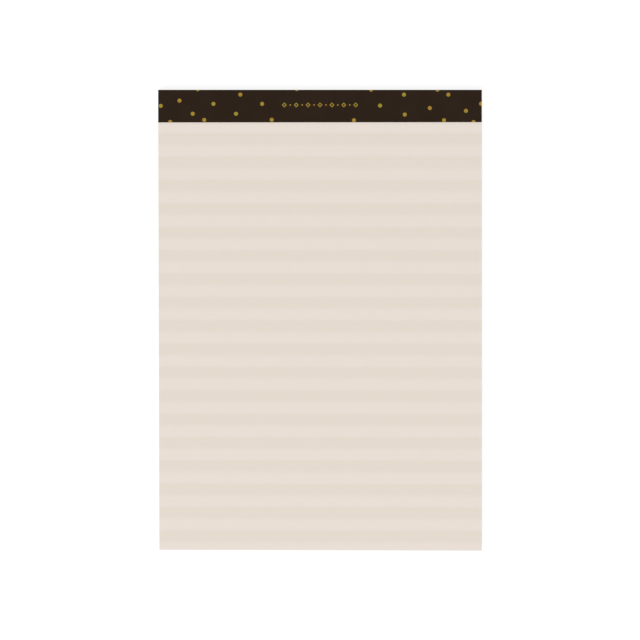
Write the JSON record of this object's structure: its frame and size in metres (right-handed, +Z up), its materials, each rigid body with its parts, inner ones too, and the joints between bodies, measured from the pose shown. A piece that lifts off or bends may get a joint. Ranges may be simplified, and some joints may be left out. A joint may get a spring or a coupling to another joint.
{
  "type": "legal pad",
  "caption": "Top-bound writing pad: pale banded sheets on a chipboard back, with a dark foil-dotted strip folded over the stitched head and a tear-off perforation below it.",
  "frame": {"origin": "middle of the bounding box's bottom face: the underside of the strip's back leg is at z = 0", "axes": "+X across the pad to the right, +Y from the foot to the bound head, +Z up out of the writing side"},
  "size_m": [0.2096, 0.2984, 0.0064],
  "materials": {
    "sheet_paper": "matt uncoated writing paper, pale beige",
    "band_print": "flat offset print, a slightly darker beige",
    "chipboard": "grey-brown recycled chipboard, matt",
    "strip_paper": "dark brown-black cover paper, matt with a faint grain",
    "gold_foil": "hot-stamped gold foil, satin",
    "stitch_wire": "zinc-coated steel wire"
  },
  "bodies": {
    "root": {"sheet_block": "sheet_paper", "printed_bands": "band_print", "backing_board": "chipboard", "binding_strip": "strip_paper", "foil_dots": "gold_foil", "foil_ornament": "gold_foil", "wire_stitch_left": "stitch_wire", "wire_stitch_middle": "stitch_wire", "wire_stitch_right": "stitch_wire"}
  },
  "joints": []
}
